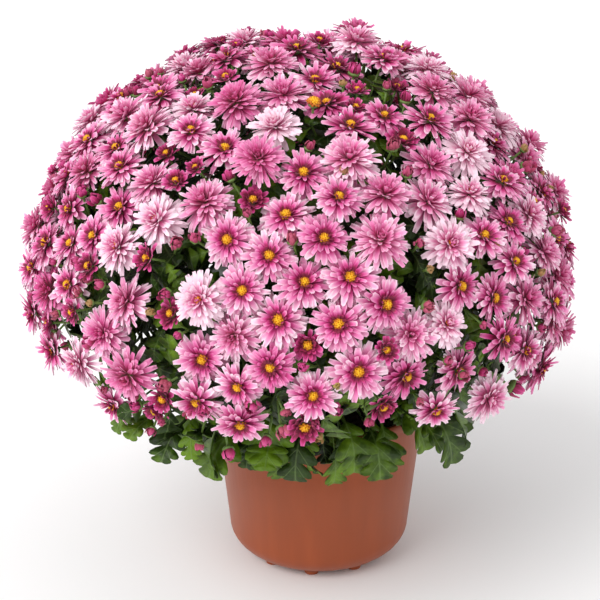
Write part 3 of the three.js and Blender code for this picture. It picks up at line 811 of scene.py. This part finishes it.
def rimLeaves(spray, path, draw):
    # two long leaves that hang out over the pot's rim, with smaller ones among them
    copies = []
    flat = unit(spray["towards"] * [1, 1, 0])
    sideways = np.cross(upwards, flat)
    for k in range(rimLeaf["count"]):
        root = bezier(path, rimLeaf["from"] + k * rimLeaf["step"])
        fan = (k - 0.5) * rimLeaf["fan"] + rimLeaf["stray"] * (draw() - 0.5)
        towards = unit(unit(root * [1, 1, 0]) + sideways * fan)
        side = np.cross(upwards, towards)
        towards = unit(towards * [1, 1, 0] - upwards * rimLeaf["dip"] * draw())
        length = np.interp(draw(), (0, 1), rimLeaf["length"])
        bend = np.interp(draw(), (0, 1), rimLeaf["bend"])
        reach = rimLeaf["reach"] - np.hypot(root[0], root[1]) + rimLeaf["beyond"] * draw()
        copies.append(leafCopy("leaf", root, towards, np.cross(towards, side), length, bend,
                               chance.uniform(*rimLeaf["tone"]), stalk=reach))
    for bearing in spray["bearings"]:
        out = chance.uniform(*fringe["out"])
        up = chance.uniform(*fringe["up"])
        length = chance.uniform(*fringe["length"])
        if fringe["sparse"][0] < bearing < fringe["sparse"][1]:
            up += fringe["raised"]
            length *= fringe["shorter"]
        edge = np.array([out * math.sin(bearing), -out * math.cos(bearing), up])
        copies.append(leafTo(edge, path, length, chance.uniform(*fringe["bend"])))
    for degrees, height, length in ownLeaves:
        edge = domeAt(degrees, height)
        if nearestTo(edge, lowSprays) is spray:
            edge[:2] *= ownLeafForm["in"]
            copies.append(leafTo(edge, path, length, ownLeafForm["bend"]))
    return copies


# degrees round from the front, height, radius and warmth of the buds with places of their own
ownBuds = [
    (-22.7, 228, 5, 0.5), (-19.3, 233, 8, 0.1), (-9.2, 242, 7.5, 0.1), (2.9, 227, 4.5, 0.5),
    (6.7, 240, 7, 0.1), (-7.2, 205, 6.5, 0.2), (-17.6, 178, 7.5, 0.1), (-24.9, 183, 5, 0.6),
    (-38, 186, 5, 0.3), (57.2, 206, 9, 0), (-50.6, 245, 7, 0.2), (-46, 267, 7.5, 0.2),
    (-35.6, 248, 4.5, 1.8), (6.9, 262, 4.5, 1.8), (33.6, 253, 6, 0.7), (12.1, 409, 4.5, 1.5),
    (8.6, 397, 6.5, 0.9), (46, 346, 4.5, 1.5),
    (6, 446, 6, None),  # an old eye that has dropped its petals
]
budKinds = ("bud", "bare")
budForm = {
    "perSpray": 5,
    "radius": (3.8, 7.6),
    "beside": 4,  # past its neighbour's rim
    "apart": 14,
    "tries": 30,
    "sunk": 5,
    "unripe": 5,  # the radius under which half of them are still greenish
    "unripeWarm": 1.6,
    "warm": [0, 0.2, 0.5, 0.8],
    "spin": (0, 6.28),
    "stray": 0.25,
    "lift": 0.3,
    "ownStray": 0.2,
    "ownLift": 0.2,
}


def newBud(at, face, radius, warm):
    return {"at": at, "face": unit(face), "radius": radius, "warm": warm,
            "kind": "bare" if warm is None else "bud", "spin": chance.uniform(*budForm["spin"])}


def ownBudsFor(spray):
    # the buds with places of their own whose nearest spray this is
    buds = []
    for degrees, height, radius, warm in ownBuds:
        at = domeAt(degrees, height)
        if nearestTo(at, sprays) is spray:
            face = domeNormal(at) + chance.normal(0, budForm["ownStray"], 3)
            buds.append(newBud(at, face + budForm["ownLift"] * upwards, radius, warm))
    return buds


def budsFor(spray):
    # small buds in the widest gaps beside the spray's blooms
    buds = ownBudsFor(spray)
    for _ in range(budForm["perSpray"]):
        best = (-math.inf, None)
        for _ in range(budForm["tries"]):
            host = spray["blooms"][chance.integers(len(spray["blooms"]))]
            turn = chance.uniform(0, 2 * math.pi)
            away = facing(host) @ np.array([math.cos(turn), math.sin(turn), 0])
            at = ontoDome(host["at"] + away * (host["radius"] + budForm["beside"]))
            room = (np.linalg.norm(bloomPlaces - at, axis=1) - bloomRadii).min()
            for bud in buds:
                room = min(room, np.linalg.norm(bud["at"] - at) - budForm["apart"])
            if room > best[0]:
                best = (room, at)
        normal = domeNormal(best[1])
        face = normal + chance.normal(0, budForm["stray"], 3) + budForm["lift"] * upwards
        radius = chance.uniform(*budForm["radius"])
        unripe = radius < budForm["unripe"] and chance.uniform() < 0.5
        at = best[1] - normal * chance.uniform(0, budForm["sunk"])
        warm = budForm["unripeWarm"] if unripe else chance.choice(budForm["warm"])
        buds.append(newBud(at, face, radius, warm))
    return buds


# a calyx's half width, its foot and its height, in the bloom's radius, and its outline
calyxForm = {
    "bud": (0.74, -1.05, 0.7),
    "bloom": (0.25, -0.42, 0.3),
    "level": [0, 0.2, 0.5, 0.8, 1],
    "width": [0, 0.6, 0.95, 1, 0.6],
    "rise": [0, 0.25, 0.625, 1, 0.9],
}


def calyxOf(bloom):
    # a green cup of scales under the petals
    blank = blanks["calyx"]
    shares = calyxForm["bud" if bloom["kind"] in budKinds else "bloom"]
    size, bottom, tall = (share * bloom["radius"] for share in shares)
    wide = size * np.interp(blank["level"], calyxForm["level"], calyxForm["width"])
    up = bottom + tall * np.interp(blank["level"], calyxForm["level"], calyxForm["rise"])
    points = np.stack([wide * blank["across"], wide * blank["over"], up], axis=1)
    return copyOf("calyx", (points @ facing(bloom).T + bloom["at"])[None], blank["level"])


# a bud's branch carries a pair of leaves that spread across the gap under it, and most other
# branches one leaf
branchForm = {"from": (0.72, 0.98), "bow": 0.55, "radius": 1.25, "topRadius": 1.0,
              "belowBud": 1.05, "belowBloom": 0.4, "leafShare": 0.7}
pairedLeaf = {"at": 0.75, "forward": 0.35, "length": (28, 40), "bend": (0.2, 0.8),
              "tone": (0, 0.7)}
singleLeaf = {"at": (0.35, 0.8), "forward": 0.7, "length": (20, 34), "bend": (0.2, 0.9),
              "tone": (0, 0.7)}


def branchTo(bloom, path):
    # a thin branch from the upper stem that comes up under the bloom
    underBud = bloom["kind"] in budKinds
    below = branchForm["belowBud" if underBud else "belowBloom"]
    end = bloom["at"] - bloom["face"] * bloom["radius"] * below
    start = bezier(path, chance.uniform(*branchForm["from"]))
    bow = end - bloom["face"] * branchForm["bow"] * np.linalg.norm(end - start)
    line = (start, bow, end)
    copies = [tube("branch", line, branchForm["radius"], branchForm["topRadius"])]
    axis = unit(end - start)
    sideways = unit(np.cross(axis, chance.normal(0, 1, 3)))
    if underBud:
        root = bezier(line, pairedLeaf["at"])
        for aside in (sideways, -sideways):
            copies.append(leafCopy("smallLeaf", root, aside + pairedLeaf["forward"] * axis,
                                   axis, *sizesIn(pairedLeaf)))
    elif chance.uniform() < branchForm["leafShare"]:
        root = bezier(line, chance.uniform(*singleLeaf["at"]))
        copies.append(leafCopy("smallLeaf", root, sideways + singleLeaf["forward"] * axis,
                               axis, *sizesIn(singleLeaf)))
    return copies


# Leaf: living blade, deep green and slightly glossy, with paler veins; the lower face is painted
# darker than the upper, as painted shade beneath.
leafLook = {
    "light": 0.15,  # how much brighter a leaf's own tone and its upper face make it: painted light on the upper face, painted shade on the lower
    "patches": 95,  # about 10 mm across
    "patchDepth": 0.75,
    "tones": [(0.15, "#0f160a"), (0.42, "#1d2a0a"), (0.66, "#2b430b"), (1, "#688a18")],
    "veins": 26,  # a side vein every 12 mm or so
    "veinSlant": -0.75,
    "veinFrom": 0.93,  # nearer to 1, thinner veins
    "midrib": (0.008, 0.022),  # its full part and its edge, in shares of the leaf's length
    "veinShare": 0.28,
    "veinColour": "#86a060",
}
leafBlade, tree, shader = newMaterial("leafBlade", Roughness=0.42, Specular_IOR_Level=0.35)
parts = readMarks(tree)
patches = addNode(tree, "TexNoise", {"Vector": placeIn(tree)}, Scale=leafLook["patches"], Detail=4)
light = addNode(tree, "Math", {0: parts["Z"], 1: leafLook["light"]}, operation="MULTIPLY")
shaded = addNode(tree, "Math", {0: patches, 1: leafLook["patchDepth"], 2: light},
                 operation="MULTIPLY_ADD")
green = addNode(tree, "ValToRGB", {0: shaded}, leafLook["tones"])
beside = addNode(tree, "Math", {0: parts["Y"]}, operation="ABSOLUTE")
slant = addNode(tree, "Math", {0: beside, 1: leafLook["veinSlant"], 2: parts["X"]},
                operation="MULTIPLY_ADD")
sideVeins = addNode(tree, "Math", {0: slant, 1: leafLook["veins"]}, operation="MULTIPLY")
veinWave = addNode(tree, "Math", {0: sideVeins}, operation="COSINE")
veinLine = addNode(tree, "MapRange", {0: veinWave}, From_Min=leafLook["veinFrom"], From_Max=1)
midrib = addNode(tree, "MapRange", {0: beside}, From_Min=leafLook["midrib"][1],
                 From_Max=leafLook["midrib"][0])
veinsOver = addNode(tree, "Math", {0: veinLine, 1: midrib}, operation="MAXIMUM")
veinShare = addNode(tree, "Math", {0: veinsOver, 1: leafLook["veinShare"]}, operation="MULTIPLY")
veined = addNode(tree, "Mix", {0: veinShare, 6: green, 7: rgb(leafLook["veinColour"])},
                 data_type="RGBA")
puckers = addNode(tree, "Bump", {"Height": patches}, Strength=0.5, Distance=0.004)
relief = addNode(tree, "Bump", {"Height": veinsOver, "Normal": puckers}, Strength=0.35,
                 Distance=0.0006)
setInputs(shader, {"Base Color": veined.outputs[2], "Normal": relief})

# Stem: soft green rind, woodier and browner towards the soil.
stemRind, tree, shader = newMaterial("stemRind", Roughness=0.5)
rind = addNode(tree, "ValToRGB", {0: readMarks(tree)["X"]},
               [(0, "#5a5230"), (0.3, "#556a30"), (1, "#6c8a3e")])
setInputs(shader, {"Base Color": rind})

lowSprays = [spray for spray in sprays
             if spray["at"][2] < skirtHeight(spray["at"]) + plant["lowSprays"]]
for spray in lowSprays:
    spray["bearings"] = []
for k in range(fringe["count"]):
    stray = chance.uniform(-fringe["stray"], fringe["stray"])
    bearing = 2 * math.pi * (k + stray) / fringe["count"]
    towards = np.array([math.sin(bearing), -math.cos(bearing), 0])
    nearest = max(lowSprays, key=lambda spray: unit(spray["towards"] * [1, 1, 0]) @ towards)
    nearest["bearings"].append(bearing)

leafDraw = drawsFrom(plant["seed"] + 1)
forkDraws = 9  # what the solids spend of these on the leaves below each fork
for number, spray in enumerate(sprays, 1):
    path = stemPath(spray)
    for _ in range(forkDraws):
        leafDraw()
    buds = budsFor(spray)
    foot = path[0] * [1, 1, 0] + [0, 0, stemForm["foot"]]
    thick = stemForm["radius"]
    copies = [
        tube("stem", path, thick, stemForm["topRadius"]),
        tube("branch", (foot, (foot + path[0]) / 2, path[0] + upwards), thick, thick),
    ]
    copies += stemLeaves(path)
    if "bearings" in spray:
        copies += rimLeaves(spray, path, leafDraw)
    for bloom in spray["blooms"] + buds:
        copies += [calyxOf(bloom)] + branchTo(bloom, path)
    makePiece(f"greens_{number:02d}", copies, [leafBlade, stemRind],
              f"leafy_stem_{number:02d}")
    budCopies = [copy for bud in buds for copy in bloomCopies(bud)]
    makePiece(f"buds_{number:02d}", budCopies, [petalTissue, eyeFlorets],
              f"bloom_spray_{number:02d}")
print("stems, leaves and buds are made")

potForm = {
    "steps": 90,
    "height": 150,
    "rim": 95,
    "lip": 9,
    "wallTop": 93.4,
    "taper": 0.108,
    "cornerTop": 27,
    "corner": 25,
    "cornerSteps": 10,
    "base": 4.5,
    "wall": 1.8,
    "feet": 9,
    "footRing": 56,
    "firstFoot": -47,
    "footRadii": (6.2, 7),
    "footEdge": 0.9,
    "intoBase": 1,  # how far a foot reaches up into the base
    "drains": 5,
    "drainRing": 38,
    "drainRadius": 5,
}


def wallRadius(height):
    return potForm["wallTop"] - potForm["taper"] * (potForm["height"] - height)


def spun(form, line, steps):
    # a profile of radius and height, in millimetres, turned about the pot's axis
    corners = [form.verts.new((r, 0, z)) for r, z in line]
    edges = [form.edges.new(pair) for pair in zip(corners, corners[1:])]
    bmesh.ops.spin(form, geom=corners + edges, cent=(0, 0, 0), axis=(0, 0, 1),
                   angle=2 * math.pi, steps=steps, use_merge=True)
    bmesh.ops.remove_doubles(form, verts=form.verts, dist=0.001)
    bmesh.ops.recalc_face_normals(form, faces=form.faces)


def inMetres(form, name):
    place = Matrix.Translation(potMiddle) @ Matrix.Scale(mm, 4)
    bmesh.ops.transform(form, matrix=place, verts=form.verts)
    return meshOf(form, name)


def potProfile():
    corner = potForm["corner"]
    top = potForm["cornerTop"]
    outer = wallRadius(top)
    steps = potForm["cornerSteps"]
    turns = [math.pi / 2 * i / steps for i in range(steps + 1)]
    outside = [(outer - corner + corner * math.sin(a), top - (top - potForm["base"]) * math.cos(a))
               for a in turns]
    wall = potForm["wall"]
    inside = [(r - wall * math.sin(a), z + wall * math.cos(a)) for (r, z), a in zip(outside, turns)]
    height = potForm["height"]
    lip = height - potForm["lip"]
    inner = wallRadius(height) - wall
    # up and over the lip, whose edges are rounded by under a millimetre
    rim = [
        (wallRadius(lip) + 0.1, lip),
        (potForm["rim"] - 0.4, lip + 0.2),
        (potForm["rim"], lip + 0.8),
        (potForm["rim"], height - 0.8),
        (potForm["rim"] - 0.8, height),
        (inner + 0.5, height),
        (inner, height - 0.6),
    ]
    middle = potForm["drainRing"]
    across = np.linspace(middle + potForm["drainRadius"], middle - potForm["drainRadius"], 4)
    under = [(r, potForm["base"]) for r in (0, *across[::-1])]
    floor = [(r, potForm["base"] + wall) for r in (*across, 0)]
    return under + outside + rim + inside[::-1] + floor


def openDrains(form):
    # at each hole the base's faces are taken out and the two edges are joined by a wall
    nearBase = potForm["base"] + 3
    for i in range(potForm["drains"]):
        angle = 2 * math.pi * i / potForm["drains"]
        middle = potForm["drainRing"] * Vector((math.sin(angle), math.cos(angle)))
        inHole = [f for f in form.faces if f.calc_center_median().z < nearBase
                  and (f.calc_center_median().xy - middle).length < potForm["drainRadius"]]
        bmesh.ops.delete(form, geom=inHole, context="FACES")
        edges = [e for e in form.edges if e.is_boundary]
        for vertex in {v for e in edges for v in e.verts}:
            out = (vertex.co.xy - middle).normalized() * potForm["drainRadius"]
            vertex.co.xy = middle + out
        bmesh.ops.bridge_loops(form, edges=edges)


form = bmesh.new()
spun(form, potProfile(), potForm["steps"])
openDrains(form)
low, high = potForm["footRadii"]
tall = potForm["base"] + potForm["intoBase"]
for i in range(potForm["feet"]):
    angle = math.radians(potForm["firstFoot"] + 360 / potForm["feet"] * i)
    place = Matrix.Translation((potForm["footRing"] * math.sin(angle),
                                -potForm["footRing"] * math.cos(angle), tall / 2))
    foot = bmesh.ops.create_cone(form, segments=20, radius1=low, radius2=high, cap_ends=True,
                                 depth=tall, matrix=place)
    bottom = {e for v in foot["verts"] for e in v.link_edges if all(w.co.z < 0.01 for w in e.verts)}
    bmesh.ops.bevel(form, geom=list(bottom), offset=potForm["footEdge"], segments=3,
                    profile=0.5, affect="EDGES", material=-1)
for face in form.faces:
    face.smooth = True
potMesh = inMetres(form, "nurseryPot")

# Pot: injection-moulded polypropylene in terracotta brown, satin, with faint flow lines down it.
potPlastic, tree, shader = newMaterial("mouldedPolypropylene", Roughness=0.42, IOR=1.44)
place = placeIn(tree)
stretched = addNode(tree, "Mapping", {"Vector": place}, Scale=(60, 60, 3))
# with the stretch, flow lines about 10 mm apart
flow = addNode(tree, "TexNoise", {"Vector": stretched}, Scale=1.6, Detail=4)
terracotta = addNode(tree, "ValToRGB", {0: flow},
                     [(0.28, "#90431f"), (0.5, "#954520"), (0.72, "#9a4821")])
# the mould's grain is finer than half a millimetre, and is drawn 1 mm coarse so that it shows
grain = addNode(tree, "TexNoise", {"Vector": place}, Scale=900, Detail=2)
relief = addNode(tree, "Bump", {"Height": grain}, Strength=0.08, Distance=0.0002)
setInputs(shader, {"Base Color": terracotta, "Normal": relief})
addPiece("nursery_pot", potMesh, [potPlastic], "pot")
print("pot is made")

soilForm = {
    "inPot": [(0, 7), (54, 7), (70.5, 13), (77.5, 27), (89.4, 134)],  # radius and height
    "edge": 89.7,
    "edgeHeight": 136,
    "mound": 7,
    "rings": 22,
    "steps": 72,
    "bumps": 1.1,
    "bumpy": (135, 87.7),  # above this height and within this radius
}


def moundHeight(share):
    # at a share of the way from the pot's axis to its wall
    return soilForm["edgeHeight"] + soilForm["mound"] * (1 - share**2)


form = bmesh.new()
line = list(soilForm["inPot"])
for i in range(soilForm["rings"] + 1):
    share = 1 - i / soilForm["rings"]
    line.append((soilForm["edge"] * share, moundHeight(share)))
spun(form, line, soilForm["steps"])
low, wide = soilForm["bumpy"]
for vertex in form.verts:
    if vertex.co.z > low and math.hypot(vertex.co.x, vertex.co.y) < wide:
        vertex.co.z += chance.normal(0, soilForm["bumps"])
soilMesh = inMetres(form, "pottingSoil")

# Soil: moist peat and bark, dark brown and matt, in lumps of 5 or 6 mm with paler fibres.
peat, tree, shader = newMaterial("moistPeat", Roughness=0.95)
lumps = addNode(tree, "TexNoise", {"Vector": placeIn(tree)}, Scale=180, Detail=6)
brown = addNode(tree, "ValToRGB", {0: lumps},
                [(0.3, "#1d140d"), (0.55, "#34251a"), (0.75, "#5a4532")])
relief = addNode(tree, "Bump", {"Height": lumps}, Strength=0.8, Distance=0.002)
setInputs(shader, {"Base Color": brown, "Normal": relief})
addPiece("potting_soil", soilMesh, [peat], "soil")

crumbForm = {"count": 300, "area": 0.92, "size": (1.0, 3.2), "long": (1, 1.7), "flat": 0.6,
             "raised": 0.3}


def crumbCopies():
    # bits of bark and peat strewn over the mound
    blank = blanks["crumb"]
    each = (crumbForm["count"], 1)
    share = np.sqrt(chance.uniform(0, crumbForm["area"], each))
    turn = chance.uniform(0, 2 * math.pi, each)
    size = chance.uniform(*crumbForm["size"], each)
    long = size * chance.uniform(*crumbForm["long"], each)
    lean = chance.uniform(0, 2 * math.pi, each)
    ring = np.sin(blank["level"] * math.pi)
    along = long * blank["across"] * ring
    aside = size * blank["over"] * ring
    over = crumbForm["raised"] - np.cos(blank["level"] * math.pi)
    out = share * soilForm["edge"]
    points = np.stack([out * np.cos(turn) + along * np.cos(lean) - aside * np.sin(lean),
                       out * np.sin(turn) + along * np.sin(lean) + aside * np.cos(lean),
                       moundHeight(share) + crumbForm["flat"] * size * over], axis=2)
    return copyOf("crumb", points)


makePiece("soil_crumbs", [crumbCopies()], [peat], "soil")
print("soil is made")
